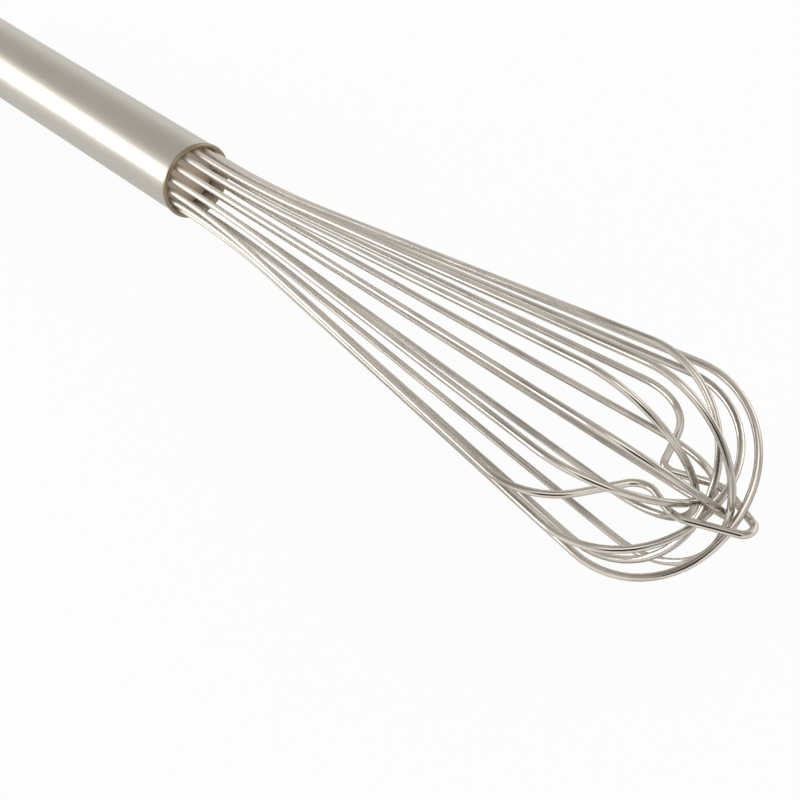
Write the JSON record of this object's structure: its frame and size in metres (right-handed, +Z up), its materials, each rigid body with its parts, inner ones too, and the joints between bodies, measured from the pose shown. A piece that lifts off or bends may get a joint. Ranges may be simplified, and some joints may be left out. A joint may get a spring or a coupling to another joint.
{
  "type": "balloon whisk",
  "caption": "Slender stainless whisk: a hollow tube handle with a hanging ring, and a long cage of nested wire loops held together by a lock wire at the tip.",
  "frame": {"origin": "on the table, under the middle of the whisk's length and width, with the whisk lying at rest", "axes": "+X along the whisk towards the tip of the cage, +Z up"},
  "size_m": [0.3734, 0.0511, 0.0514],
  "materials": {
    "handle_steel": "satin, brushed along the tube",
    "core_metal": "plain turned",
    "cap_steel": "satin",
    "ring_steel": "bright drawn wire",
    "wire_steel": "bright drawn wire"
  },
  "bodies": {
    "whisk": {"handle_tube": "handle_steel", "wire_core": "core_metal", "end_cap": "cap_steel", "hanging_eye": "ring_steel", "wire_loop_1": "wire_steel", "wire_loop_2": "wire_steel", "wire_loop_3": "wire_steel", "wire_loop_4": "wire_steel", "wire_loop_5": "wire_steel", "wire_loop_6": "wire_steel", "wire_loop_7": "wire_steel", "tip_lock_wire": "wire_steel"},
    "ring": {"hanging_ring": "ring_steel"}
  },
  "joints": [
    {"name": "ring_swing", "type": "hinge", "parent": "whisk", "child": "ring", "pos_m": [-0.16959, 0, 0.01056], "axis": [-0.0466, 0, 0.9989], "range_deg": [-90, 90]}
  ]
}
